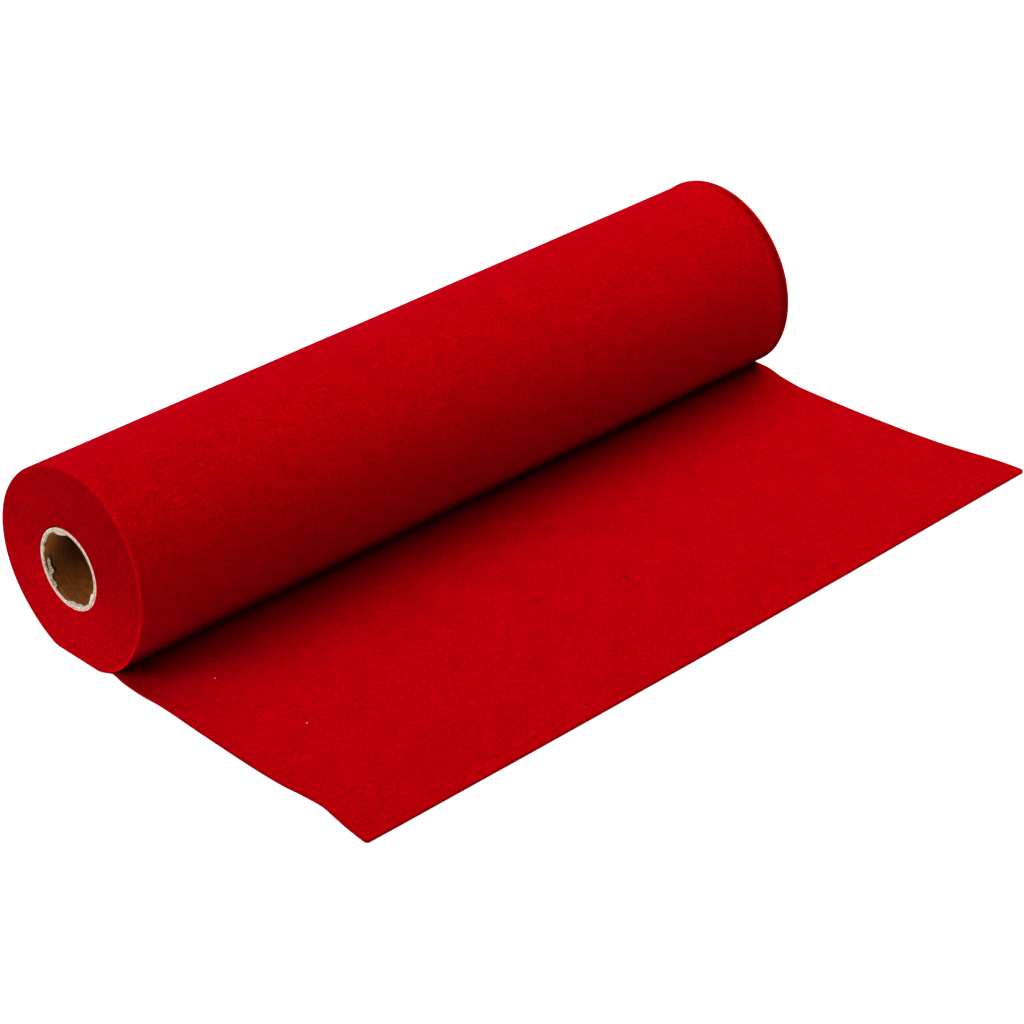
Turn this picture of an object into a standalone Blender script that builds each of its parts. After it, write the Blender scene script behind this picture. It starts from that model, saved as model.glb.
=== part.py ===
"""Roll of felt on a cardboard core, with its loose end lying on the floor.

The roll lies along X and its loose end runs out towards -Y. The origin is on the
floor, below the roll's axis at the middle of its width. Metres, +Z up.
"""

import math

import bmesh
import bpy
import numpy as np
from mathutils import Vector

MM = 0.001

# Felt: one long strip, wound on the core
STRIP_WIDTH = 450 * MM
THICKNESS = 1.5 * MM

# Wound body, and its axis measured at its near end (-X) and its far end (+X)
ROLL_RADIUS = 52.8 * MM
AXIS_Y_NEAR = -3.3 * MM
AXIS_Y_FAR = 2.6 * MM
AXIS_Z_NEAR = 50.2 * MM
AXIS_Z_FAR = 50.7 * MM
# The inner turns have slipped towards -X, so one end is domed and the other dished
TURNS_SLIP = 2.5 * MM
# How far the soft roll stands out from round: an oval at both ends, upright at one and
# lying at the other, and three slight lobes that die away towards the far end
OVAL_NEAR = 1.5 * MM
OVAL_FAR = -1.7 * MM
OVAL_ANGLE = math.radians(128)
LOBES_NEAR = 1.1 * MM
LOBES_ANGLE = math.radians(142)

# Cardboard core, a plain tube
CORE_BORE = 38.1 * MM
CORE_WALL = 1.6 * MM
CORE_GAP = 0.3 * MM

# Loose end: how far it runs in front of the roll's axis, and where it leaves the roll
LOOSE_REACH = 205 * MM
NIP_REACH = 26 * MM

# The loose end in mm, for each reach in front of the roll's axis: the height of its
# underside above the floor at its near edge, in the middle and at its far edge, then how
# far its near and far edges stand out sideways
LOOSE_COLUMNS = ("reach", "near_lift", "middle_lift", "far_lift", "near_out", "far_out")
LOOSE_TABLE = (
    (16.0, 0.0, 0.0, 0.4, 0.0, 0.0),
    (22.0, 1.5, 2.0, 3.1, 0.0, 0.0),
    (28.0, 3.4, 4.6, 6.4, 0.0, 0.0),
    (36.0, 1.8, 3.4, 6.2, 0.0, 0.0),
    (48.0, 1.2, 0.9, 3.6, 0.0, 0.0),
    (64.0, 1.9, 0.0, 1.9, 0.0, 0.0),
    (92.0, 0.8, 0.0, 1.8, 0.0, 0.0),
    (132.0, 0.1, 0.0, 2.2, 0.1, 0.7),
    (147.0, 0.4, 0.0, 2.2, 0.0, 1.9),
    (160.0, 1.1, 0.0, 2.2, -0.7, 3.3),
    (172.0, 1.5, 0.0, 2.0, -1.0, 5.8),
    (183.0, 1.0, 0.0, 1.7, 0.2, 8.4),
    (192.0, 0.4, 0.0, 1.4, 1.1, 10.3),
    (205.0, 0.0, 0.0, 0.8, 1.9, 12.0),
)
# Width of the side strips over which what happens at an edge dies away
NEAR_FADE = 70 * MM
FAR_FADE = 150 * MM

# Facets
TURN_STEPS = 80
LOOSE_STEPS = 24
WIDTH_STEPS = 12
CORE_STEPS = 48


def clear_scene():
    """Remove every object."""
    for thing in list(bpy.data.objects):
        bpy.data.objects.remove(thing, do_unlink=True)


def material(name, colour, roughness):
    """A plain Principled material."""
    made = bpy.data.materials.new(name)
    made.use_nodes = True
    shader = made.node_tree.nodes["Principled BSDF"]
    shader.inputs["Base Color"].default_value = (*colour, 1.0)
    shader.inputs["Roughness"].default_value = roughness
    shader.inputs["Metallic"].default_value = 0.0
    return made


def smooth(value):
    """Ease from 0 to 1 with level ends."""
    value = np.clip(value, 0.0, 1.0)
    return value * value * (3.0 - 2.0 * value)


def blend(x, near, far):
    """Value at x of something that changes evenly from the near end to the far end."""
    return near + (far - near) * (x / STRIP_WIDTH + 0.5)


def roll_at(x):
    """The roll's axis (y, z) and the angle of the nip, at x."""
    axis_y = blend(x, AXIS_Y_NEAR, AXIS_Y_FAR)
    axis_z = blend(x, AXIS_Z_NEAR, AXIS_Z_FAR)
    nip_angle = math.asin((NIP_REACH + axis_y) / (ROLL_RADIUS - THICKNESS / 2))
    return axis_y, axis_z, nip_angle


def out_of_round(x, angle):
    """How far the roll stands out from round; it sits round in its flat spot."""
    oval = blend(x, OVAL_NEAR, OVAL_FAR) * np.cos(2.0 * (angle - OVAL_ANGLE))
    lobes = blend(x, LOBES_NEAR, 0.0) * np.cos(3.0 * (angle - LOBES_ANGLE))
    return (oval + lobes) * smooth(2.0 * (1.0 - np.cos(angle)))


def loose_at(name, reach):
    """One column of the loose end's table, in metres, at a reach."""
    column = dict(zip(LOOSE_COLUMNS, np.array(LOOSE_TABLE).T * MM))
    return np.interp(reach, column["reach"], column[name])


def edge_shares(x):
    """1 at the near edge and at the far edge, each dying away across the strip."""
    near_share = 1.0 - smooth((STRIP_WIDTH / 2 + x) / NEAR_FADE)
    far_share = 1.0 - smooth((STRIP_WIDTH / 2 - x) / FAR_FADE)
    return near_share, far_share


def lift_at(x, reach):
    """Height of the loose end's underside above the floor."""
    near_share, far_share = edge_shares(x)
    middle = loose_at("middle_lift", reach)
    near = (loose_at("near_lift", reach) - middle) * near_share
    far = (loose_at("far_lift", reach) - middle) * far_share
    return middle + near + far


def drift_at(x, reach):
    """Sideways shift of the loose end, whose front corners stand out."""
    near_share, far_share = edge_shares(x)
    return loose_at("far_out", reach) * far_share - loose_at("near_out", reach) * near_share


def turn_section(x):
    """The outer turn at x, from the nip over the top and the back to the floor.

    The radius grows by one thickness on the way round. The last point is on the
    underside, straight below the nip, and the underside is flat on the floor.
    """
    axis_y, axis_z, nip_angle = roll_at(x)
    share = np.linspace(0.0, 1.0, TURN_STEPS + 1)
    angle = nip_angle + share * 2.0 * math.pi
    reach_out = ROLL_RADIUS + (share - 0.5) * THICKNESS + out_of_round(x, angle)
    y = axis_y - reach_out * np.sin(angle)
    z = axis_z - reach_out * np.cos(angle)
    z = np.where(share > 0.5, np.maximum(z, lift_at(x, -y)), z)
    y[-1] = y[0]
    z[-1] = lift_at(x, NIP_REACH)
    z[0] = z[-1] + THICKNESS
    return np.stack([y, z], axis=1)


def felt_section(x):
    """Closed outline at x: the outer turn, then the loose end's underside and top."""
    share = np.linspace(0.0, 1.0, LOOSE_STEPS + 1)[1:]
    reach = NIP_REACH + (LOOSE_REACH - NIP_REACH) * share ** 1.25
    under = lift_at(x, reach)
    bottom = np.stack([-reach, under], axis=1)
    top = np.stack([-reach, under + THICKNESS], axis=1)
    return np.concatenate([turn_section(x), bottom, top[::-1]])


def bore_section(x):
    """Ring of points around the felt's bore, in line with those of the outer turn."""
    axis_y, axis_z, nip_angle = roll_at(x)
    radius = CORE_BORE / 2 + CORE_WALL + CORE_GAP
    angle = nip_angle + np.arange(TURN_STEPS) / TURN_STEPS * 2.0 * math.pi
    return np.stack([axis_y - radius * np.sin(angle), axis_z - radius * np.cos(angle)], axis=1)


def end_cap(first, ring_size, bore_first):
    """Faces of one end: the wound turns around the bore, then the loose end's edge."""
    faces = []
    for step in range(TURN_STEPS):
        bore_after = bore_first + (step + 1) % TURN_STEPS
        faces.append((first + step + 1, first + step, bore_first + step, bore_after))
    faces.append((first, first + TURN_STEPS, bore_first))
    under = [first + TURN_STEPS + step for step in range(LOOSE_STEPS + 1)]
    over = [first] + [first + ring_size - step for step in range(1, LOOSE_STEPS + 1)]
    for step in range(LOOSE_STEPS):
        faces.append((under[step + 1], under[step], over[step], over[step + 1]))
    return faces


def felt_mesh():
    """Loft the felt's outline along X around its bore."""
    even = np.linspace(-1.0, 1.0, WIDTH_STEPS + 1)
    # Sections stand closer together near both ends, where the edges lift
    stations = (0.6 * even + 0.4 * np.sin(even * math.pi / 2)) * STRIP_WIDTH / 2
    verts = []
    faces = []
    for x in stations:
        section = felt_section(x)
        verts += [(x + drift_at(x, -y), y, z) for y, z in section]
    ring_size = len(section)
    for low in range(0, WIDTH_STEPS * ring_size, ring_size):
        for place in range(ring_size):
            after = (place + 1) % ring_size
            faces.append((low + place, low + after, low + ring_size + after, low + ring_size + place))
    near_bore = len(verts)
    far_bore = near_bore + TURN_STEPS
    for x in (stations[0], stations[-1]):
        verts += [(x - TURNS_SLIP, y, z) for y, z in bore_section(x)]
    for step in range(TURN_STEPS):
        after = (step + 1) % TURN_STEPS
        faces.append((near_bore + after, near_bore + step, far_bore + step, far_bore + after))
    faces += end_cap(0, ring_size, near_bore)
    faces += [face[::-1] for face in end_cap(WIDTH_STEPS * ring_size, ring_size, far_bore)]
    mesh = bpy.data.meshes.new("felt")
    mesh.from_pydata(verts, [], faces)
    return mesh


def make_felt(collection):
    """The felt: the wound body and its loose end in one solid."""
    mesh = felt_mesh()
    shaped = bmesh.new()
    shaped.from_mesh(mesh)
    bmesh.ops.recalc_face_normals(shaped, faces=shaped.faces)
    shaped.to_mesh(mesh)
    shaped.free()
    mesh.shade_smooth()
    mesh.set_sharp_from_angle(angle=math.radians(40))
    felt = bpy.data.objects.new("felt", mesh)
    felt.data.materials.append(material("red felt", (0.42, 0.004, 0.008), 0.95))
    collection.objects.link(felt)


def make_core(collection):
    """The cardboard core: a turned tube along the roll's axis."""
    ends = []
    for x in (-STRIP_WIDTH / 2, STRIP_WIDTH / 2):
        axis_y, axis_z, _ = roll_at(x)
        ends.append(Vector((x - TURNS_SLIP, axis_y, axis_z)))
    half = (ends[1] - ends[0]).length / 2
    inner = CORE_BORE / 2
    outer = inner + CORE_WALL
    profile = [(outer, 0, half), (outer, 0, -half), (inner, 0, -half), (inner, 0, half)]
    mesh = bpy.data.meshes.new("core")
    mesh.from_pydata(profile, [(0, 1), (1, 2), (2, 3), (3, 0)], [])
    core = bpy.data.objects.new("core", mesh)
    core.data.materials.append(material("kraft cardboard", (0.33, 0.17, 0.07), 0.85))
    core.location = (ends[0] + ends[1]) / 2
    core.rotation_mode = "QUATERNION"
    core.rotation_quaternion = (ends[1] - ends[0]).to_track_quat("Z", "Y")
    turned = core.modifiers.new("turned", "SCREW")
    turned.axis = "Z"
    turned.angle = 2.0 * math.pi
    turned.steps = CORE_STEPS
    turned.render_steps = CORE_STEPS
    turned.use_merge_vertices = True
    turned.merge_threshold = 0.00001
    turned.use_smooth_shade = True
    collection.objects.link(core)


def main():
    """Build the roll."""
    clear_scene()
    collection = bpy.data.collections.new("roll_of_felt")
    bpy.context.scene.collection.children.link(collection)
    make_felt(collection)
    make_core(collection)


main()
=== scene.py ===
"""Looks of a roll of red felt on a cardboard core, its loose end lying in front of it.

The felt is one real strip: about five metres, wound turn by turn on the core. Metres,
+Z up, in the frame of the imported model: the roll lies along X, the loose end runs out
towards -Y, and the origin is on the floor below the roll's axis.
"""

import math

import bpy
import numpy as np
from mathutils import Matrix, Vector


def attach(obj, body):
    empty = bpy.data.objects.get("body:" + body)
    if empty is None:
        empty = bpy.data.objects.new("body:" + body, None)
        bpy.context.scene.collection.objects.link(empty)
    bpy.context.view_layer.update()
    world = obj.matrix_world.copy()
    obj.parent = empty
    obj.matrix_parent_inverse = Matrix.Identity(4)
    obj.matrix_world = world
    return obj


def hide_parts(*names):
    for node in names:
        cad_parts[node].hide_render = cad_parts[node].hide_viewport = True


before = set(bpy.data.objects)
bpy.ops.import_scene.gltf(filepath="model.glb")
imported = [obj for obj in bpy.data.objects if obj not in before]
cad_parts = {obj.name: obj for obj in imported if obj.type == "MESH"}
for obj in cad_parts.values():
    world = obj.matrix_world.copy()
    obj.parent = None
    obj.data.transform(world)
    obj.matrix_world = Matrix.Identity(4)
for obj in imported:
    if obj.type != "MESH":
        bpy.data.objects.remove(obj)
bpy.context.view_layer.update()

MM = 0.001

# Felt strip
STRIP_WIDTH = 450 * MM
THICKNESS = 1.5 * MM
HALF = STRIP_WIDTH / 2

# Wound body, and its axis at its near end (-X) and its far end (+X)
ROLL_RADIUS = 52.8 * MM
AXIS_Y_NEAR = -3.3 * MM
AXIS_Y_FAR = 2.6 * MM
AXIS_Z_NEAR = 50.2 * MM
AXIS_Z_FAR = 50.7 * MM
# How far the innermost turn and the core stand out at the near end
TURNS_SLIP = 2.5 * MM
# How far the soft roll stands out from round: an oval at both ends, turned by a right angle
# from one to the other, and three slight lobes that die away towards the far end
OVAL_NEAR = 1.5 * MM
OVAL_FAR = -1.7 * MM
OVAL_ANGLE = math.radians(128)
LOBES_NEAR = 1.1 * MM
LOBES_ANGLE = math.radians(142)

# Cardboard core
CORE_BORE = 38.1 * MM
CORE_WALL = 1.6 * MM
CORE_GAP = 0.3 * MM
CORE_WORN = 0.15 * MM
CORE_STEPS = 160
CORE_RADIUS = CORE_BORE / 2 + CORE_WALL
FELT_BORE = CORE_RADIUS + CORE_GAP
TURNS = (ROLL_RADIUS - FELT_BORE) / THICKNESS
# The bore's paper carries painted shade, darker further in, most of all round its upper side.
# The tube has rings of points at these depths to carry that
BORE_DEPTHS = (4 * MM, 9 * MM, 15 * MM, 22 * MM, 34 * MM)
DARK_DEPTH = 17 * MM
BORE_PAINTED_SHADE = 0.88

# Loose end
LOOSE_REACH = 205 * MM
NIP_REACH = 26 * MM
NIP_EASE = 20 * MM

# The loose end in mm, for each reach in front of the roll's axis: the height of its
# underside above the floor at its near edge, in the middle and at its far edge, then how
# far its near and far edges stand out sideways
LOOSE_COLUMNS = ("reach", "near_lift", "middle_lift", "far_lift", "near_out", "far_out")
LOOSE_TABLE = (
    (16.0, 0.0, 0.0, 0.4, 0.0, 0.0),
    (22.0, 1.5, 2.0, 3.1, 0.0, 0.0),
    (28.0, 3.4, 4.6, 6.4, 0.0, 0.0),
    (36.0, 1.8, 3.4, 6.2, 0.0, 0.0),
    (48.0, 1.2, 0.9, 3.6, 0.0, 0.0),
    (64.0, 1.9, 0.0, 1.9, 0.0, 0.0),
    (92.0, 0.8, 0.0, 1.8, 0.0, 0.0),
    (132.0, 0.1, 0.0, 2.2, 0.1, 0.7),
    (147.0, 0.4, 0.0, 2.2, 0.0, 1.9),
    (160.0, 1.1, 0.0, 2.2, -0.7, 3.3),
    (172.0, 1.5, 0.0, 2.0, -1.0, 5.8),
    (183.0, 1.0, 0.0, 1.7, 0.2, 8.4),
    (192.0, 0.4, 0.0, 1.4, 1.1, 10.3),
    (205.0, 0.0, 0.0, 0.8, 1.9, 12.0),
)
# Width of the side strips over which what happens at an edge dies away
NEAR_FADE = 70 * MM
FAR_FADE = 150 * MM

# Round of the cut edges and of the loose end's front corners
EDGE_ROUND = 0.1 * MM
NEAR_CORNER = 1.8 * MM
FAR_CORNER = 2.6 * MM
CORNER_SPAN = 12 * MM
# The front edge lies back a little, and is bowed
FRONT_EASE = 0.35 * MM
FRONT_BOW = 0.9 * MM
BOW_SPAN = 330 * MM
# The outermost turn flares at the far end, and at the near end it stands proud between these
# shares of a turn from the nip. Its flare and its waves come in over the first share
OUTERMOST_EASE = 1 / 6
FLARE_HEIGHT = 0.45 * MM
FLARE_LENGTH = 3.5 * MM
OUTER_PROUD = 0.4 * MM
PROUD_SPAN = 6 * MM
PROUD_START = 0.02
PROUD_RISE = 1 / 12
PROUD_END = 0.62
PROUD_FALL = 0.2
# Unevenness of the cut edges and of the surface, and the play between the turns
EDGE_WANDER = 0.04 * MM
SURFACE_SWELL = 0.12 * MM
SETTLE_SOFTNESS = 0.25 * MM
LAYER_CLEARANCE = 0.02 * MM

# Colours of the felt's fibres
FELT_RED = (0.42, 0.0, 0.0008)
FELT_DEEP = (0.265, 0.0, 0.0)
FELT_LIGHT = (0.595, 0.0, 0.002)

# Tones multiply the strip's colour, painting light and shade. Its front cut edge has painted
# shade
FRONT_CUT_SHADE = 0.62
# The outermost turn's near cut edge carries a painted highlight, with a highlight line beside
# it, from the nip over the front and the top: how bright, how wide the line, and the shares
# of a turn at which it starts to fade and over which it fades
NEAR_CUT_HIGHLIGHT = 1.4
NEAR_HIGHLIGHT_LINE = 1.4 * MM
NEAR_CUT_END = 0.44
NEAR_CUT_FADE = 1 / 6
# At that turn's far edge a painted shade band lies beside a painted highlight line, about as
# far round
FAR_BAND_SHADE = 0.5
FAR_EDGE_HIGHLIGHT = 1.4
BAND_START = 1.1 * MM
BAND_END = 5.2 * MM
BAND_SOFT = 1.2 * MM
FAR_BAND_END = 0.46
FAR_BAND_FADE = 0.1
# The cut edges at both ends carry painted light from the floor low on the roll: how much, and
# where that starts, as the cosine of the angle from the bottom
END_BOUNCE_LIGHT = 0.42
BOUNCE_START = -0.4
# Just above the nip the outermost turn is dark with a painted shadow: how dark, then how far
# up, as a share of a turn at its near and its far end, and over what share of a turn that fades
NIP_SHADOW = 0.12
NIP_DARK_NEAR = 0.052
NIP_DARK_FAR = 0.036
NIP_DARK_FADE = 0.05

# Facets of the strip
OUTER_ROWS = 168
OUTER_TURNS = 1.04
LOOSE_ROWS = 88
INNER_ROWS_PER_TURN = 64
FINE_COLUMNS = 96
EDGE_STEPS = (0.0, 0.25, 0.7, 1.3, 2.1, 3.1, 4.4, 6.2, 8.6, 12.0)
COARSE_INSETS = (0, 2)

# Torn paper at the core's near mouth: for each angle round the bore, in degrees from the
# bottom towards the front, how deep it reaches and how far it curls inwards, in mm, then
# how brown it is
PAPER_TABLE = (
    (0, 2.3, 0.5, 0.2),
    (15, 2.6, 0.6, 0.1),
    (30, 2.2, 0.5, 0.25),
    (42, 1.4, 0.5, 0.1),
    (50, 3.0, 2.2, 0.0),
    (57, 3.4, 3.0, 0.15),
    (64, 3.2, 2.5, 0.0),
    (68, 1.4, 0.8, 0.0),
    (75, 1.4, 1.3, 0.0),
    (80, 0.5, 0.2, 0.0),
    (110, 0.5, 0.15, 0.3),
    (150, 0.6, 0.3, 0.0),
    (162, 0.9, 0.5, 0.3),
    (178, 1.2, 0.8, 0.3),
    (186, 2.4, 2.0, 0.2),
    (197, 2.8, 2.6, 0.2),
    (206, 2.2, 2.0, 0.2),
    (211, 0.5, 0.3, 0.3),
    (228, 0.8, 0.4, 0.5),
    (245, 1.0, 0.5, 0.5),
    (251, 0.3, 0.1, 0.9),
    (257, 1.0, 0.6, 0.5),
    (270, 0.7, 0.3, 0.6),
    (285, 0.8, 0.3, 0.6),
    (299, 1.6, 0.4, 0.4),
    (318, 1.7, 0.3, 0.4),
    (323, 0.5, 0.2, 0.3),
    (345, 0.6, 0.2, 0.2),
    (360, 2.3, 0.5, 0.2),
)
PAPER_THICKNESS = 0.14 * MM
# One row of points for each degree round the bore, and how many points a row has
LINER_ROWS = 360
LINER_COLUMNS = 7
# How ragged the tear is, as shares of its depth and of its curl, its least depth, and how
# far the paper stands out of the mouth
RAGGED_DEPTH = 0.2
RAGGED_CURL = 0.14
LEAST_DEPTH = 0.25 * MM
LINER_PROUD = 0.05 * MM
# Tone of the paper: halfway up, and how much painted light makes it lighter at the bottom
LINER_TONE = 1.15
LINER_BOTTOM_LIGHT = 0.35
# A torn strip of it that stands off the wall: for each angle, its width, how far its outer
# side stands off the wall and how deep it lies, in mm
FLAP_TABLE = (
    (274, 0.4, 0.5, 2.1),
    (277, 1.2, 0.6, 1.7),
    (285, 1.6, 0.7, 1.4),
    (293, 1.9, 0.6, 1.2),
    (298, 2.5, 0.6, 1.0),
    (301, 1.1, 0.6, 0.9),
)
# How many rows of points it has, how ragged its width is, and how brown it is
FLAP_ROWS = 31
FLAP_RAGGED = 0.07
FLAP_BROWN = 0.65
# How deep into the bore the strip runs, for its width
FLAP_LEAN = 0.83
# Across the strip: how far over its width, how far it rises there for its width, and its
# painted light and shade. Beyond its crest it falls back to the wall as a dark sheet of painted
# shadow
FLAP_ACROSS = (
    (0.0, 0.0, 0.6),
    (0.2, 0.06, 1.3),
    (0.45, 0.17, 0.85),
    (0.7, 0.32, 1.5),
    (0.95, 0.45, 1.3),
    (1.02, 0.4, 0.1),
    (1.3, -0.15, 0.05),
    (2.1, -0.2, 0.05),
)

# Lint on the loose end: white specks at (x, reach) in mm, and dark hairs at (x, reach) that
# run so far along x and along the reach
WHITE_LINT = ((-192.8, 62.8), (-186.0, 119.5))
LINT_RADIUS = 0.34 * MM
LINT_SHAPE = (1.3, 0.8, 0.5)
LINT_HEIGHT = 0.12 * MM
DARK_HAIRS = ((-38.0, 118.2, -0.8, 5.4), (9.8, 132.2, 1.2, 3.8))
HAIR_RADIUS = 0.3 * MM
HAIR_HEIGHT = 0.08 * MM
HAIR_STEPS = 6
# How a hair bends, in mm, and thins away from its middle
HAIR_BEND = 1.6
HAIR_TAPER = 1.2

# Floor and backdrop, in metres: how far their sides lie from the middle, how far the floor
# lies below the roll, and how high the foot and the top of the walls are
FLOOR_REACH = 200.0
FLOOR_DROP = 0.05 * MM
BACKDROP_REACH = 9.0
BACKDROP_FOOT = -0.05
BACKDROP_TOP = 8.0

# Softboxes: name, place, target, width, and power in watts
SOFTBOXES = (
    ("back top softbox", (0.35, 0.35, 1.8), (0.0, -0.05, 0.0), 1.4, 21.5),
    ("front top softbox", (0.35, -0.65, 1.8), (0.0, -0.05, 0.0), 1.4, 17.8),
    ("near side softbox", (-1.4, 0.25, 0.9), (0.0, 0.0, 0.05), 0.7, 12.0),
    ("far side softbox", (1.3, 0.2, 1.2), (0.0, -0.05, 0.05), 1.0, 27.0),
)
WORLD_STRENGTH = 0.03


# Curves and tables

def smooth(value):
    """Ease from 0 to 1 with level ends."""
    value = np.clip(value, 0.0, 1.0)
    return value * value * (3.0 - 2.0 * value)


def blend(x, near, far):
    """Value at x of something that changes evenly from the near end to the far end."""
    return near + (far - near) * (x / STRIP_WIDTH + 0.5)


def soft_max(a, b, softness):
    """The larger of two values, with a rounded change from one to the other."""
    return 0.5 * (a + b + np.sqrt((a - b) ** 2 + softness ** 2))


def smooth_table(at, places, values):
    """Smooth curve through a table's rows, which never overshoots a level stretch."""
    slopes = np.diff(values) / np.diff(places)
    same_way = slopes[:-1] * slopes[1:] > 0
    total = np.where(same_way, slopes[:-1] + slopes[1:], 1.0)
    inner = np.where(same_way, 2.0 * slopes[:-1] * slopes[1:] / total, 0.0)
    tangents = np.concatenate([[0.0], inner, [0.0]])
    at = np.clip(at, places[0], places[-1])
    row = np.clip(np.searchsorted(places, at, side="right") - 1, 0, len(places) - 2)
    span = (places[1:] - places[:-1])[row]
    t = (at - places[row]) / span
    low = values[row] * (1 + 2 * t) * (1 - t) ** 2 + tangents[row] * span * t * (1 - t) ** 2
    high = values[row + 1] * t * t * (3 - 2 * t) - tangents[row + 1] * span * t * t * (1 - t)
    return low + high


# Shape of the strip

def edge_shares(x):
    """1 at the near edge and at the far edge, each dying away across the strip."""
    near_share = 1.0 - smooth((HALF + x) / NEAR_FADE)
    far_share = 1.0 - smooth((HALF - x) / FAR_FADE)
    return near_share, far_share


def swell(x, along):
    """Slow uneven waves of the cloth, from -1 to 1."""
    waves = (
        (61.0, 23.0, 0.4),
        (-37.0, 41.0, 2.1),
        (19.0, -67.0, 4.0),
        (103.0, 57.0, 1.3),
    )
    return sum(np.sin(x * fx + along * fy + phase) for fx, fy, phase in waves) / len(waves)


def loose_at(name, reach):
    """One column of the loose end's table, in metres, at a reach."""
    column = dict(zip(LOOSE_COLUMNS, np.array(LOOSE_TABLE).T * MM))
    return smooth_table(reach, column["reach"], column[name])


def lift_at(x, reach):
    """Height of the loose end's underside above the floor."""
    near_share, far_share = edge_shares(x)
    middle = loose_at("middle_lift", reach)
    near = (loose_at("near_lift", reach) - middle) * near_share
    far = (loose_at("far_lift", reach) - middle) * far_share
    return middle + near + far


def drift_at(x, reach):
    """Sideways shift of the loose end, whose front corners stand out."""
    near_share, far_share = edge_shares(x)
    return loose_at("far_out", reach) * far_share - loose_at("near_out", reach) * near_share


def roll_at(x):
    """The roll's axis (y, z) and the angle of the nip, at x."""
    axis_y = blend(x, AXIS_Y_NEAR, AXIS_Y_FAR)
    axis_z = blend(x, AXIS_Z_NEAR, AXIS_Z_FAR)
    nip_angle = np.arcsin((NIP_REACH + axis_y) / (ROLL_RADIUS - THICKNESS / 2))
    return axis_y, axis_z, nip_angle


def out_of_round(x, angle):
    """How far the roll stands out from round; it sits round in its flat spot."""
    oval = blend(x, OVAL_NEAR, OVAL_FAR) * np.cos(2.0 * (angle - OVAL_ANGLE))
    lobes = blend(x, LOBES_NEAR, 0.0) * np.cos(3.0 * (angle - LOBES_ANGLE))
    return (oval + lobes) * smooth(2.0 * (1.0 - np.cos(angle)))


def turn_line(x, share):
    """Middle of the strip (y, z) where it is wound.

    share is 1 where the strip meets the loose end, 0 one turn further in, and so on.
    """
    axis_y, axis_z, nip_angle = roll_at(x)
    angle = nip_angle + share * 2.0 * math.pi
    outer_radius = ROLL_RADIUS + THICKNESS / 2
    middle = ROLL_RADIUS + (share - 1.0) * THICKNESS
    # The turns are round at the core, and take the roll's own shape towards the outside
    outward = (middle - FELT_BORE) / (outer_radius - FELT_BORE)
    outermost = smooth(share / OUTERMOST_EASE)
    flare = FLARE_HEIGHT * smooth((x - HALF + FLARE_LENGTH) / FLARE_LENGTH)
    waves = SURFACE_SWELL / 2 * swell(x, ROLL_RADIUS * angle)
    middle = middle + out_of_round(x, angle) * outward + (flare + waves) * outermost
    y = axis_y - middle * np.sin(angle)
    z = axis_z - middle * np.cos(angle)
    under = np.where(y < 0, lift_at(x, -y), 0.0)
    lowest = axis_z - middle + (under + outer_radius - axis_z) * outward
    z = np.where(np.cos(angle) > 0, soft_max(z, lowest, SETTLE_SOFTNESS), z)
    return y, z


def loose_line(x, reach):
    """Middle of the strip (y, z) where it lies in front of the roll."""
    out = smooth((reach - NIP_REACH) / NIP_EASE)
    z = lift_at(x, reach) + THICKNESS / 2 + SURFACE_SWELL * (0.5 + swell(x, reach) / 2) * out
    forward = smooth((reach - LOOSE_REACH / 3) / (LOOSE_REACH * 2 / 3))
    bow = FRONT_EASE + FRONT_BOW * np.sin(math.pi * (x + HALF) / BOW_SPAN)
    return -reach - bow * forward, z


def column_places():
    """Places of the fine columns across the strip, close together near both edges."""
    edge = np.array(EDGE_STEPS) * MM + EDGE_ROUND
    inside = np.linspace(-HALF + edge[-1], HALF - edge[-1], FINE_COLUMNS - 2 * len(edge) + 2)
    return np.concatenate([-HALF + edge[:-1], inside, (HALF - edge[:-1])[::-1]])


def side_shift(x, share, reach):
    """Sideways shift of the strip: its slip, its uneven edges and its front corners."""
    shift = drift_at(x, reach) - TURNS_SLIP * np.clip((1.0 - share) / TURNS, 0.0, 1.0)
    near_share, far_share = edge_shares(x)
    ways = ((0.37, 0.0), (1.71, 1.1), (3.13, 2.9), (7.77, 0.6))
    uneven = sum(np.sin(2 * math.pi * share * rate + phase) for rate, phase in ways) / 2
    shift = shift + EDGE_WANDER * uneven * (near_share - far_share)
    rise = smooth((share - PROUD_START) / PROUD_RISE)
    fall = smooth((PROUD_END - share) / PROUD_FALL)
    proud = OUTER_PROUD * rise * fall
    shift = shift - proud * smooth((PROUD_SPAN - HALF - x) / PROUD_SPAN)
    for side, radius in ((-1, NEAR_CORNER), (1, FAR_CORNER)):
        past = np.clip((reach - LOOSE_REACH + radius) / radius, 0.0, 1.0)
        rounded = radius * (1.0 - np.sqrt(1.0 - past ** 2))
        shift = shift - side * rounded * smooth((side * x - HALF + CORNER_SPAN) / CORNER_SPAN)
    return shift


def edge_profile():
    """Squarish round of the strip's side edge: (outward, up) from its top to its underside."""
    turn = np.radians([50, 20, 0, -20, -50])
    outward = EDGE_ROUND * np.cos(turn) ** 0.6
    up = THICKNESS / 2 * np.sin(turn) / math.sin(math.radians(56))
    return outward, up


def strip_rows():
    """Rows along the strip from its front edge: (share, reach, how full its thickness is)."""
    # The front cut edge is rounded: mm back from it, and how full the strip is there
    front = ((0.0, 0.4), (0.1, 0.75), (0.3, 1.0))
    rows = [(1.0, LOOSE_REACH - back * MM, full) for back, full in front]
    start = rows[-1][1]
    # The rows of the loose end lie closer together towards its front edge
    for step in range(1, LOOSE_ROWS + 1):
        ease = step / LOOSE_ROWS
        rows.append((1.0, start + (NIP_REACH - start) * (0.6 * ease + 0.4 * ease ** 1.6), 1.0))
    for step in range(1, OUTER_ROWS + 1):
        rows.append((1.0 - OUTER_TURNS * step / OUTER_ROWS, NIP_REACH, 1.0))
    return rows


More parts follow.
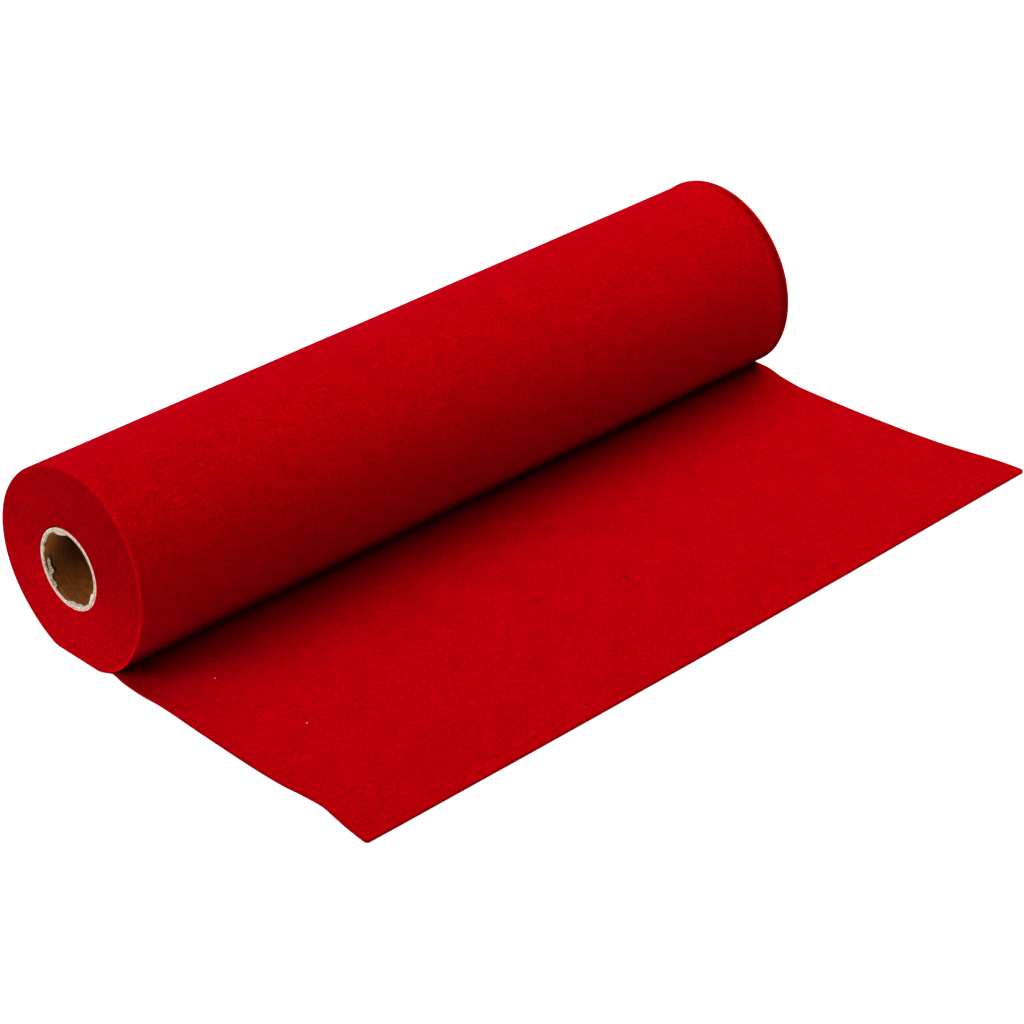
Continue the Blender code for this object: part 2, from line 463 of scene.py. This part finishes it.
def middle_line(x, place):
    """Middle of the strip (y, z) at a place (share, reach) along it."""
    share, reach = place
    if reach > NIP_REACH:
        return loose_line(x, reach)
    return turn_line(x, share)


def loop_points(columns, row, before, after):
    """Closed loop of points around the strip at one row."""
    share, reach, full = row
    outward, up = edge_profile()
    side = HALF - EDGE_ROUND + outward
    x = np.concatenate([columns, side, columns[::-1], -side])
    flat = np.full(len(columns), THICKNESS / 2 - LAYER_CLEARANCE)
    height = np.concatenate([flat, up, -flat, -up]) * full
    y, z = middle_line(x, (share, reach))
    y_before, z_before = middle_line(x, before[:2])
    y_after, z_after = middle_line(x, after[:2])
    along_y, along_z = y_after - y_before, z_after - z_before
    length = np.hypot(along_y, along_z)
    y = y - height * along_z / length
    z = z + height * along_y / length
    return np.stack([x + side_shift(x, share, reach), y, np.maximum(z, 0.0)], axis=1)


def joining_faces(low, high, picked, fine_count, edge_count):
    """Faces between the last row of fine columns and the first row of coarse ones."""
    fine_loop = 2 * (fine_count + edge_count)
    coarse_loop = 2 * (len(picked) + edge_count)
    far_edge = [fine_count + step for step in range(edge_count)]
    under = [2 * fine_count + edge_count - 1 - place for place in picked[::-1]]
    near_edge = [2 * fine_count + edge_count + step for step in range(edge_count)]
    match = list(picked) + far_edge + under + near_edge
    faces = []
    for step in range(coarse_loop):
        after = (step + 1) % coarse_loop
        last = match[after] if after else fine_loop
        run = [low + place % fine_loop for place in range(match[step], last + 1)]
        faces.append(tuple(run + [high + after, high + step]))
    return faces


def end_faces(start, count, edge_count, inner):
    """Faces that close the strip at its front edge or at its inner end."""
    under = start + count + edge_count
    faces = []
    for step in range(count - 1):
        low = under + count - 1 - step
        faces.append((start + step, low, low - 1, start + step + 1))
    far = [start + count - 1 + step for step in range(edge_count + 2)]
    near = [under + count - 1 + step for step in range(edge_count + 1)] + [start]
    faces += [tuple(far[::-1]), tuple(near[::-1])]
    return [face[::-1] for face in faces] if inner else faces


# Tones of the strip: painted light and shade

def near_cut_highlight(share):
    """Painted highlight on the near cut edge of the outermost turn: most at the front and top.
    """
    fade = smooth((share - NEAR_CUT_END) / NEAR_CUT_FADE)
    return float(NEAR_CUT_HIGHLIGHT + (1.0 - NEAR_CUT_HIGHLIGHT) * fade)


def end_bounce_light(share):
    """Tone of a turn's cut edges at both ends: painted light from the floor, lighter low on the
    roll.
    """
    nip_angle = float(roll_at(0.0)[2])
    height = math.cos(nip_angle + share * 2.0 * math.pi)
    return float(1.0 + END_BOUNCE_LIGHT * smooth((height - BOUNCE_START) / (1.0 - BOUNCE_START)))


def far_band_shade_and_highlight(x, share):
    """Tone of the outermost turn at its far edge: a painted shade band beside a painted
    highlight on the edge.
    """
    inset = HALF - x
    across = smooth((inset - BAND_START) / BAND_SOFT) * smooth((BAND_END - inset) / BAND_SOFT)
    edge = 1.0 - smooth(inset / BAND_START)
    around_it = smooth((FAR_BAND_END - share) / FAR_BAND_FADE)
    return 1.0 + ((FAR_BAND_SHADE - 1.0) * across + (FAR_EDGE_HIGHLIGHT - 1.0) * edge) * around_it


def outside_tone(x, share):
    """Tone of the outermost turn's outside: a painted highlight at the near edge and a painted
    shadow at the nip.
    """
    beside = 1.0 - smooth((x + HALF) / NEAR_HIGHLIGHT_LINE)
    opening = smooth((share - blend(x, NIP_DARK_NEAR, NIP_DARK_FAR)) / NIP_DARK_FADE)
    nip = NIP_SHADOW + (1.0 - NIP_SHADOW) * opening
    return far_band_shade_and_highlight(x, share) * (1.0 + (near_cut_highlight(share) - 1.0) * beside) * nip


def row_tones(columns, row, edge_count):
    """Tones of the points around the strip at one row, in the order of loop_points."""
    share, _, full = row
    count = len(columns)
    tones = np.ones(2 * (count + edge_count))
    # Painted shade on the front cut edge
    if full < 1.0:
        tones[:] = FRONT_CUT_SHADE
    # Painted light from the floor on the cut edges, low on the roll
    if share < 1.0:
        tones[count:count + edge_count] = end_bounce_light(share)
        tones[-edge_count:] = end_bounce_light(share)
    # The outermost turn's outside gets painted highlights, painted shade and a painted shadow
    # at the nip
    if 0.0 <= share < 1.0:
        tones[count + edge_count:-edge_count] = outside_tone(columns[::-1], share)
        # Painted highlight on the near cut edge of the outermost turn
        tones[-edge_count:] *= near_cut_highlight(share)
    return tones.tolist()


# Meshes and pieces

def strip_mesh():
    """The whole strip: front edge, loose end, outer turn, then the turns within it."""
    fine = column_places()
    count = len(fine)
    insets = list(COARSE_INSETS)
    picked = insets + [count // 2] + [count - 1 - inset for inset in insets[::-1]]
    coarse = fine[picked]
    rows = strip_rows()
    fine_rows = len(rows)
    inner_rows = round((TURNS - OUTER_TURNS) * INNER_ROWS_PER_TURN)
    shares = np.linspace(rows[-1][0], 1.0 - TURNS, inner_rows + 1)[1:]
    rows += [(share, NIP_REACH, 1.0) for share in shares]
    edge_count = len(edge_profile()[0])
    verts, faces, tones, starts = [], [], [], []
    for place, row in enumerate(rows):
        columns = fine if place < fine_rows else coarse
        before = rows[max(place - 1, 0)]
        after = rows[min(place + 1, len(rows) - 1)]
        starts.append(len(verts))
        verts += loop_points(columns, row, before, after).tolist()
        tones += row_tones(columns, row, edge_count)
    for place in range(len(rows) - 1):
        if place == fine_rows - 1:
            continue
        size = 2 * ((count if place < fine_rows else len(coarse)) + edge_count)
        low, high = starts[place], starts[place + 1]
        for step in range(size):
            after = (step + 1) % size
            faces.append((low + step, low + after, high + after, high + step))
    faces += joining_faces(starts[fine_rows - 1], starts[fine_rows], picked, count, edge_count)
    faces += end_faces(starts[0], count, edge_count, False)
    faces += end_faces(starts[-1], len(coarse), edge_count, True)
    mesh = bpy.data.meshes.new("felt_strip")
    mesh.from_pydata(verts, [], faces)
    add_values(mesh, "tone", tones)
    return mesh


def grid_mesh(name, rows, closed):
    """A sheet through rows of points; a closed one joins its last row to its first."""
    width = len(rows[0])
    verts = [point for row in rows for point in row]
    faces = []
    for row in range(len(rows) if closed else len(rows) - 1):
        low, high = row * width, (row + 1) % len(rows) * width
        for step in range(width - 1):
            faces.append((low + step, low + step + 1, high + step + 1, high + step))
    mesh = bpy.data.meshes.new(name)
    mesh.from_pydata(verts, [], faces)
    return mesh


def add_values(mesh, name, values):
    """Keep one value for each point of a mesh, for its material."""
    mesh.attributes.new(name, "FLOAT", "POINT").data.foreach_set("value", values)


def add_piece(name, mesh, slot, *materials):
    """A shown piece that rides on the roll."""
    piece = bpy.data.objects.new(name, mesh)
    bpy.context.scene.collection.objects.link(piece)
    for material in materials:
        piece.data.materials.append(material)
    piece.data.shade_smooth()
    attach(piece, "root")
    return piece


# Materials

def new_material(name):
    """A new material: itself, its nodes, its links and its shader."""
    made = bpy.data.materials.new(name)
    made.use_nodes = True
    nodes = made.node_tree.nodes
    return made, nodes, made.node_tree.links, nodes["Principled BSDF"]


def noise(nodes, links, source, scale, detail, roughness=0.6, distortion=0.0):
    """A noise texture's value at the given coordinates."""
    node = nodes.new("ShaderNodeTexNoise")
    node.inputs["Scale"].default_value = scale
    node.inputs["Detail"].default_value = detail
    node.inputs["Roughness"].default_value = roughness
    node.inputs["Distortion"].default_value = distortion
    links.new(source, node.inputs["Vector"])
    return node.outputs["Fac"]


def ramp(nodes, links, source, *stops):
    """A colour ramp over a value: stops are (position, colour)."""
    node = nodes.new("ShaderNodeValToRGB")
    elements = node.color_ramp.elements
    while len(elements) < len(stops):
        elements.new(0.5)
    for element, (position, colour) in zip(elements, stops):
        element.position = position
        element.color = (*colour, 1.0)
    links.new(source, node.inputs["Fac"])
    return node.outputs["Color"]


def mix(nodes, links, factor, first, second, mode="MIX"):
    """Two colours mixed; the factor is a number or a socket."""
    node = nodes.new("ShaderNodeMix")
    node.data_type = "RGBA"
    node.blend_type = mode
    sockets = (node.inputs[0], node.inputs[6], node.inputs[7])
    for value, socket in zip((factor, first, second), sockets):
        if isinstance(value, (int, float)):
            socket.default_value = value
        elif isinstance(value, tuple):
            socket.default_value = (*value, 1.0)
        else:
            links.new(value, socket)
    return node.outputs[2]


def toned(nodes, links, colour):
    """A colour times the mesh's tone, which paints light and shade on it."""
    tone = nodes.new("ShaderNodeAttribute")
    tone.attribute_name = "tone"
    return mix(nodes, links, 1.0, colour, tone.outputs["Color"], "MULTIPLY")


def math_node(nodes, links, operation, first, second):
    """One arithmetic step; the second value is a number or a socket."""
    node = nodes.new("ShaderNodeMath")
    node.operation = operation
    links.new(first, node.inputs[0])
    if isinstance(second, (int, float)):
        node.inputs[1].default_value = second
    else:
        links.new(second, node.inputs[1])
    return node.outputs[0]


def stretched(nodes, links, source, scale):
    """Coordinates scaled along each axis."""
    node = nodes.new("ShaderNodeMapping")
    node.inputs["Scale"].default_value = scale
    links.new(source, node.inputs["Vector"])
    return node.outputs["Vector"]


def bump(nodes, links, height, distance, strength, normal=None):
    """A bump from a height value."""
    node = nodes.new("ShaderNodeBump")
    node.inputs["Distance"].default_value = distance
    node.inputs["Strength"].default_value = strength
    links.new(height, node.inputs["Height"])
    if normal is not None:
        links.new(normal, node.inputs["Normal"])
    return node.outputs["Normal"]


def object_place(nodes):
    """Coordinates in the piece's own space, in metres."""
    return nodes.new("ShaderNodeTexCoord").outputs["Object"]


def set_matt(shader, roughness, specular):
    """Set how matt a shader is."""
    shader.inputs["Roughness"].default_value = roughness
    shader.inputs["Specular IOR Level"].default_value = specular


def felt_material():
    """Matted fibres: fine mottling and a soft nap, times the strip's tones of painted light and
    shade.
    """
    made, nodes, links, shader = new_material("red felt")
    place = object_place(nodes)
    fibres = noise(nodes, links, place, 900.0, 3.0, 0.7, 1.0)
    clumps = noise(nodes, links, place, 480.0, 4.0, 0.65, 0.6)
    streaks = noise(nodes, links, stretched(nodes, links, place, (0.25, 1.0, 1.0)), 420.0, 3.0)
    patches = noise(nodes, links, place, 42.0, 3.0, 0.5)
    stops = ((0.36, FELT_DEEP), (0.5, FELT_RED), (0.64, FELT_LIGHT))
    fine = ramp(nodes, links, fibres, *stops)
    coarse = ramp(nodes, links, clumps, *stops)
    colour = mix(nodes, links, 0.4, fine, coarse)
    drawn = ramp(nodes, links, streaks, (0.35, FELT_DEEP), (0.5, FELT_RED), (0.65, FELT_LIGHT))
    colour = mix(nodes, links, 0.12, colour, drawn)
    shade = ramp(nodes, links, patches, (0.3, (0.96, 0.96, 0.96)), (0.7, (1.03, 1.0, 1.0)))
    colour = mix(nodes, links, 1.0, colour, shade, "MULTIPLY")
    links.new(toned(nodes, links, colour), shader.inputs["Base Color"])
    normal = bump(nodes, links, clumps, 0.0014, 1.0)
    normal = bump(nodes, links, fibres, 0.001, 0.9, normal)
    links.new(normal, shader.inputs["Normal"])
    set_matt(shader, 1.0, 0.0)
    shader.inputs["Sheen Weight"].default_value = 0.5
    shader.inputs["Sheen Roughness"].default_value = 0.22
    shader.inputs["Sheen Tint"].default_value = (1.0, 0.0, 0.065, 1.0)
    return made


def kraft_material():
    """Brown kraft paper of the core: fibres that run round it, dark specks, and painted shade
    in the bore.
    """
    made, nodes, links, shader = new_material("brown kraft paper")
    place = object_place(nodes)
    fibres = noise(nodes, links, stretched(nodes, links, place, (1.0, 0.25, 0.25)), 1000.0, 4.0)
    specks = noise(nodes, links, place, 420.0, 2.0)
    brown = ramp(nodes, links, fibres, (0.3, (0.22, 0.065, 0.009)), (0.7, (0.5, 0.15, 0.026)))
    dots = ramp(nodes, links, specks, (0.7, (1.0, 1.0, 1.0)), (0.78, (0.25, 0.2, 0.2)))
    colour = mix(nodes, links, 1.0, brown, dots, "MULTIPLY")
    links.new(toned(nodes, links, colour), shader.inputs["Base Color"])
    links.new(bump(nodes, links, fibres, 0.0002, 0.6), shader.inputs["Normal"])
    set_matt(shader, 0.8, 0.15)
    return made


def board_edge_material():
    """The core's cut end: pale plies with a darker line of glue between them."""
    made, nodes, links, shader = new_material("pale board edge")
    place = object_place(nodes)
    across = nodes.new("ShaderNodeVectorMath")
    across.operation = "LENGTH"
    links.new(stretched(nodes, links, place, (0.0, 1.0, 1.0)), across.inputs[0])
    pulp = noise(nodes, links, place, 500.0, 4.0)
    inset = math_node(nodes, links, "SUBTRACT", across.outputs["Value"], CORE_BORE / 2)
    share = math_node(nodes, links, "DIVIDE", inset, CORE_WALL)
    uneven = math_node(nodes, links, "SUBTRACT", pulp, 0.5)
    uneven = math_node(nodes, links, "MULTIPLY", uneven, 0.5)
    share = math_node(nodes, links, "ADD", share, uneven)
    cream, pink, pale = (0.86, 0.73, 0.59), (0.6, 0.33, 0.25), (0.92, 0.83, 0.71)
    plies = ramp(nodes, links, share, (0.25, cream), (0.46, pink), (0.56, pink), (0.7, pale))
    mottle = ramp(nodes, links, pulp, (0.36, (0.62, 0.52, 0.45)), (0.56, (1.0, 1.0, 1.0)))
    links.new(mix(nodes, links, 1.0, plies, mottle, "MULTIPLY"), shader.inputs["Base Color"])
    links.new(bump(nodes, links, pulp, 0.0004, 0.7), shader.inputs["Normal"])
    set_matt(shader, 0.9, 0.1)
    return made


def paper_material():
    """Torn paper, from off-white to brown as its mesh says, with darker smudges."""
    made, nodes, links, shader = new_material("torn paper")
    place = object_place(nodes)
    pulp = noise(nodes, links, place, 800.0, 5.0, 0.7)
    white = ramp(nodes, links, pulp, (0.38, (0.42, 0.32, 0.24)), (0.52, (0.9, 0.8, 0.67)))
    kraft = ramp(nodes, links, pulp, (0.4, (0.09, 0.035, 0.012)), (0.6, (0.5, 0.33, 0.2)))
    brown = nodes.new("ShaderNodeAttribute")
    brown.attribute_name = "brown"
    colour = mix(nodes, links, brown.outputs["Fac"], white, kraft)
    # The tone paints light and shade on the paper
    links.new(toned(nodes, links, colour), shader.inputs["Base Color"])
    links.new(bump(nodes, links, pulp, 0.0005, 0.7), shader.inputs["Normal"])
    set_matt(shader, 0.9, 0.1)
    return made


def plain_material(name, colour):
    """A matt material with slight mottling."""
    made, nodes, links, shader = new_material(name)
    place = object_place(nodes)
    mottle = noise(nodes, links, place, 900.0, 2.0)
    darker = tuple(part * 0.8 for part in colour)
    shade = ramp(nodes, links, mottle, (0.3, darker), (0.7, colour))
    links.new(shade, shader.inputs["Base Color"])
    set_matt(shader, 0.9, 0.0)
    return made


def glowing_material(name, grey):
    """White that glows evenly by itself, over a matt grey."""
    made, _, _, shader = new_material(name)
    shader.inputs["Base Color"].default_value = (grey, grey, grey, 1.0)
    set_matt(shader, 0.9, 0.0)
    shader.inputs["Emission Color"].default_value = (1.0, 1.0, 1.0, 1.0)
    shader.inputs["Emission Strength"].default_value = 1.0
    return made


# The felt strip

def add_felt():
    """The wound strip with its loose end."""
    felt = add_piece("felt_strip", strip_mesh(), "felt", felt_material())
    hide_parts("felt")


# The core

def core_end(side):
    """Middle of the core's near end (side -1) or of its far end (side 1)."""
    axis_y, axis_z, _ = roll_at(side * HALF)
    return Vector((side * HALF - TURNS_SLIP, axis_y, axis_z))


def around(x, radius, angle):
    """Point in the core's own frame: X along it, angles from the bottom to the front."""
    return (x, -radius * math.sin(angle), -radius * math.cos(angle))


def core_board_mesh(length):
    """The board tube, its end faces in the second material."""
    inner = CORE_BORE / 2
    near_half = [
        (CORE_WORN, CORE_RADIUS),
        (0.0, CORE_RADIUS - CORE_WORN),
        (0.0, inner + CORE_WORN),
        (CORE_WORN, inner),
    ]
    near_half += [(depth, inner) for depth in BORE_DEPTHS]
    far_half = [(length - x, radius) for x, radius in near_half[::-1]]
    profile = near_half + far_half + near_half[:1]
    rows, tones = [], []
    for step in range(CORE_STEPS):
        angle = 2 * math.pi * step / CORE_STEPS
        upper = smooth(0.8 * (1.0 - math.cos(angle)))
        rows.append([around(x, radius, angle) for x, radius in profile])
        # Painted shade: darker further into the bore and most round its upper side
        depths = [min(x, length - x) / DARK_DEPTH for x, _ in profile]
        tones += [float(1.0 - BORE_PAINTED_SHADE * smooth(depth) * upper) for depth in depths]
    mesh = grid_mesh("core_board", rows, True)
    # Along the profile lie the near end's faces, the bore's, the far end's and the outside's
    pale = [1] * 3 + [0] * (2 * len(BORE_DEPTHS) + 1) + [1] * 3 + [0]
    mesh.polygons.foreach_set("material_index", pale * CORE_STEPS)
    add_values(mesh, "tone", tones)
    return mesh


def paper_mesh(name, rows, browns, tones, closed):
    """A sheet of paper: how brown each of its rows is, and how light each of its points."""
    mesh = grid_mesh(name, rows, closed)
    add_values(mesh, "brown", np.repeat(browns, len(rows[0])))
    add_values(mesh, "tone", tones)
    return mesh


def liner_mesh():
    """Torn paper around the inside of the near mouth."""
    degrees, depths, curls, browns = np.array(PAPER_TABLE, float).T
    ragged = np.random.default_rng(11).normal(0.0, 1.0, LINER_ROWS)
    ragged = 0.6 * ragged + 0.4 * np.repeat(ragged[::5], 5)
    rows, shown_browns, tones = [], [], []
    for degree in range(LINER_ROWS):
        angle = math.radians(degree)
        depth = float(smooth_table(degree, degrees, depths)) * MM
        depth = max(depth * (1.0 + RAGGED_DEPTH * ragged[degree]), LEAST_DEPTH)
        curl = float(smooth_table(degree, degrees, curls)) * MM
        curl = curl * (1.0 + RAGGED_CURL * ragged[degree])
        row = []
        for column in range(LINER_COLUMNS):
            share = column / (LINER_COLUMNS - 1)
            radius = CORE_BORE / 2 - PAPER_THICKNESS - curl * share ** 1.5
            row.append(around((depth - curl / 2) * share - LINER_PROUD, radius, angle))
        rows.append(row)
        shown_browns.append(float(smooth_table(degree, degrees, browns)))
        # Painted light: the paper is lighter towards the bottom of the mouth
        tones += [LINER_TONE + LINER_BOTTOM_LIGHT * math.cos(angle)] * len(row)
    return paper_mesh("core_liner", rows, shown_browns, tones, True)


def flap_mesh():
    """A strip of the liner that is torn loose and stands into the bore, running on as a dark
    sheet of painted shadow on the wall beyond it.
    """
    degrees, widths, offsets, depths = np.array(FLAP_TABLE, float).T
    ragged = np.random.default_rng(5).normal(0.0, 1.0, FLAP_ROWS)
    rows = []
    for step in range(FLAP_ROWS):
        degree = degrees[0] + (degrees[-1] - degrees[0]) * step / (FLAP_ROWS - 1)
        width = float(smooth_table(degree, degrees, widths)) * MM
        width = width * (1.0 + FLAP_RAGGED * ragged[step])
        offset = float(smooth_table(degree, degrees, offsets)) * MM
        depth = float(smooth_table(degree, degrees, depths)) * MM
        row = []
        for share, lift_share, _ in FLAP_ACROSS:
            radius = CORE_BORE / 2 - (offset + width * lift_share)
            row.append(around(depth + width * FLAP_LEAN * share, radius, math.radians(degree)))
        rows.append(row)
    # Painted light and shade across the strip, and a painted shadow beyond its crest
    tones = [tone for _, _, tone in FLAP_ACROSS] * len(rows)
    return paper_mesh("core_flap", rows, [FLAP_BROWN] * len(rows), tones, False)


def add_core():
    """The cardboard tube with its torn paper."""
    near_end, far_end = core_end(-1), core_end(1)
    along = far_end - near_end
    paper = paper_material()
    board_mesh = core_board_mesh(along.length)
    board = add_piece("core_board", board_mesh, "core", kraft_material(), board_edge_material())
    board.data.set_sharp_from_angle(angle=math.radians(60))
    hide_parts("core")
    liner = add_piece("core_liner", liner_mesh(), "core", paper)
    flap = add_piece("core_flap", flap_mesh(), "core", paper)
    for piece in (board, liner, flap):
        piece.location = near_end
        piece.rotation_mode = "QUATERNION"
        piece.rotation_quaternion = along.to_track_quat("X", "Z")
    for piece in (liner, flap):
        thick = piece.modifiers.new("thick", "SOLIDIFY")
        thick.thickness = PAPER_THICKNESS
        thick.offset = 0.0


# Lint on the felt

def sheet_top(x, reach):
    """Height of the loose end's top face."""
    _, middle = loose_line(np.array([x]), np.array([reach]))
    return float(middle[0]) + THICKNESS / 2


def add_speck(name, place, turn, material):
    """A flattened speck on the loose end, at (x, reach) in mm."""
    x, reach = place[0] * MM, place[1] * MM
    bpy.ops.mesh.primitive_ico_sphere_add(subdivisions=2, radius=LINT_RADIUS)
    speck = bpy.context.object
    speck.name = name
    speck.scale = LINT_SHAPE
    speck.rotation_euler = (0.0, 0.0, turn)
    speck.location = (x, -reach, sheet_top(x, reach) + LINT_HEIGHT)
    speck.data.materials.append(material)
    speck.data.shade_smooth()
    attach(speck, "root")


def add_hair(name, line, material):
    """A short bent hair on the loose end: its middle (x, reach) and its run, in mm."""
    x, reach, along_x, along_reach = line
    curve = bpy.data.curves.new(name, "CURVE")
    curve.dimensions = "3D"
    curve.bevel_depth = HAIR_RADIUS
    curve.bevel_resolution = 2
    curve.use_fill_caps = True
    spline = curve.splines.new("POLY")
    spline.points.add(HAIR_STEPS)
    for step, point in enumerate(spline.points):
        share = step / HAIR_STEPS - 0.5
        at_x = (x + along_x * share + HAIR_BEND * share * share) * MM
        at_reach = (reach + along_reach * share) * MM
        point.co = (at_x, -at_reach, sheet_top(at_x, at_reach) + HAIR_HEIGHT, 1.0)
        point.radius = 1.0 - HAIR_TAPER * abs(share)
    curve.materials.append(material)
    hair = bpy.data.objects.new(name, curve)
    bpy.context.scene.collection.objects.link(hair)
    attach(hair, "root")


def add_lint():
    """Two white specks and two short dark hairs on the loose end."""
    white = plain_material("white lint", (0.9, 0.68, 0.7))
    dark = plain_material("dark hair", (0.05, 0.0, 0.0))
    for number, place in enumerate(WHITE_LINT):
        add_speck(f"lint_{number}", place, 0.9 + number, white)
    for number, line in enumerate(DARK_HAIRS):
        add_hair(f"hair_{number}", line, dark)


# Floor, lights and camera

def stage_piece(name, reach, heights, faces, material):
    """Floor or backdrop: a square of four corners at each height."""
    corners = [(-reach, -reach), (reach, -reach), (reach, reach), (-reach, reach)]
    mesh = bpy.data.meshes.new(name)
    mesh.from_pydata([(x, y, z) for z in heights for x, y in corners], [], faces)
    mesh.materials.append(material)
    piece = bpy.data.objects.new(name, mesh)
    bpy.context.scene.collection.objects.link(piece)
    return piece


def add_floor():
    """Plain pale floor, which throws back little of the softboxes' light."""
    pale = glowing_material("pale floor", 0.25)
    floor = stage_piece("floor", FLOOR_REACH, (-FLOOR_DROP,), [(0, 1, 2, 3)], pale)


def add_backdrop():
    """White walls well off on every side, for low views: they show but light nothing."""
    white = glowing_material("white backdrop", 0.0)
    white.cycles.emission_sampling = "NONE"
    walls = [(step, (step + 1) % 4, (step + 1) % 4 + 4, step + 4) for step in range(4)]
    heights = (BACKDROP_FOOT, BACKDROP_TOP)
    backdrop = stage_piece("backdrop", BACKDROP_REACH, heights, walls, white)
    backdrop.visible_diffuse = False
    backdrop.visible_glossy = False
    backdrop.visible_transmission = False
    backdrop.visible_volume_scatter = False
    backdrop.visible_shadow = False


def add_light(name, place, target, width, power):
    """A square softbox at a place, facing a target."""
    data = bpy.data.lights.new(name, "AREA")
    data.shape = "SQUARE"
    data.size = width
    data.energy = power
    lamp = bpy.data.objects.new(name, data)
    lamp.location = place
    lamp.rotation_mode = "QUATERNION"
    lamp.rotation_quaternion = (Vector(target) - Vector(place)).to_track_quat("-Z", "Y")
    bpy.context.scene.collection.objects.link(lamp)


def add_camera():
    """The photograph's view."""
    azimuth, elevation = math.radians(-44.627), math.radians(29.451)
    back = Vector((
        math.sin(azimuth) * math.cos(elevation),
        -math.cos(azimuth) * math.cos(elevation),
        math.sin(elevation),
    ))
    target = Vector((-44.57, -107.71, 50.0)) * MM
    distance = 1.3428
    data = bpy.data.cameras.new("camera")
    data.lens = 99.33
    data.sensor_width = 36.0
    data.clip_start = 0.05
    data.clip_end = 500.0
    camera = bpy.data.objects.new("camera", data)
    camera.location = target + back * distance
    camera.rotation_mode = "QUATERNION"
    camera.rotation_quaternion = (-back).to_track_quat("-Z", "Y")
    bpy.context.scene.collection.objects.link(camera)
    bpy.context.scene.camera = camera


def add_world():
    """Even, faint white light from all around."""
    world = bpy.data.worlds.new("studio")
    world.use_nodes = True
    background = world.node_tree.nodes["Background"]
    background.inputs["Color"].default_value = (1.0, 1.0, 1.0, 1.0)
    background.inputs["Strength"].default_value = WORLD_STRENGTH
    bpy.context.scene.world = world


add_felt()
add_core()
add_lint()
add_floor()
add_backdrop()
add_world()
for softbox in SOFTBOXES:
    add_light(*softbox)
add_camera()
bpy.context.scene.view_settings.view_transform = "Standard"
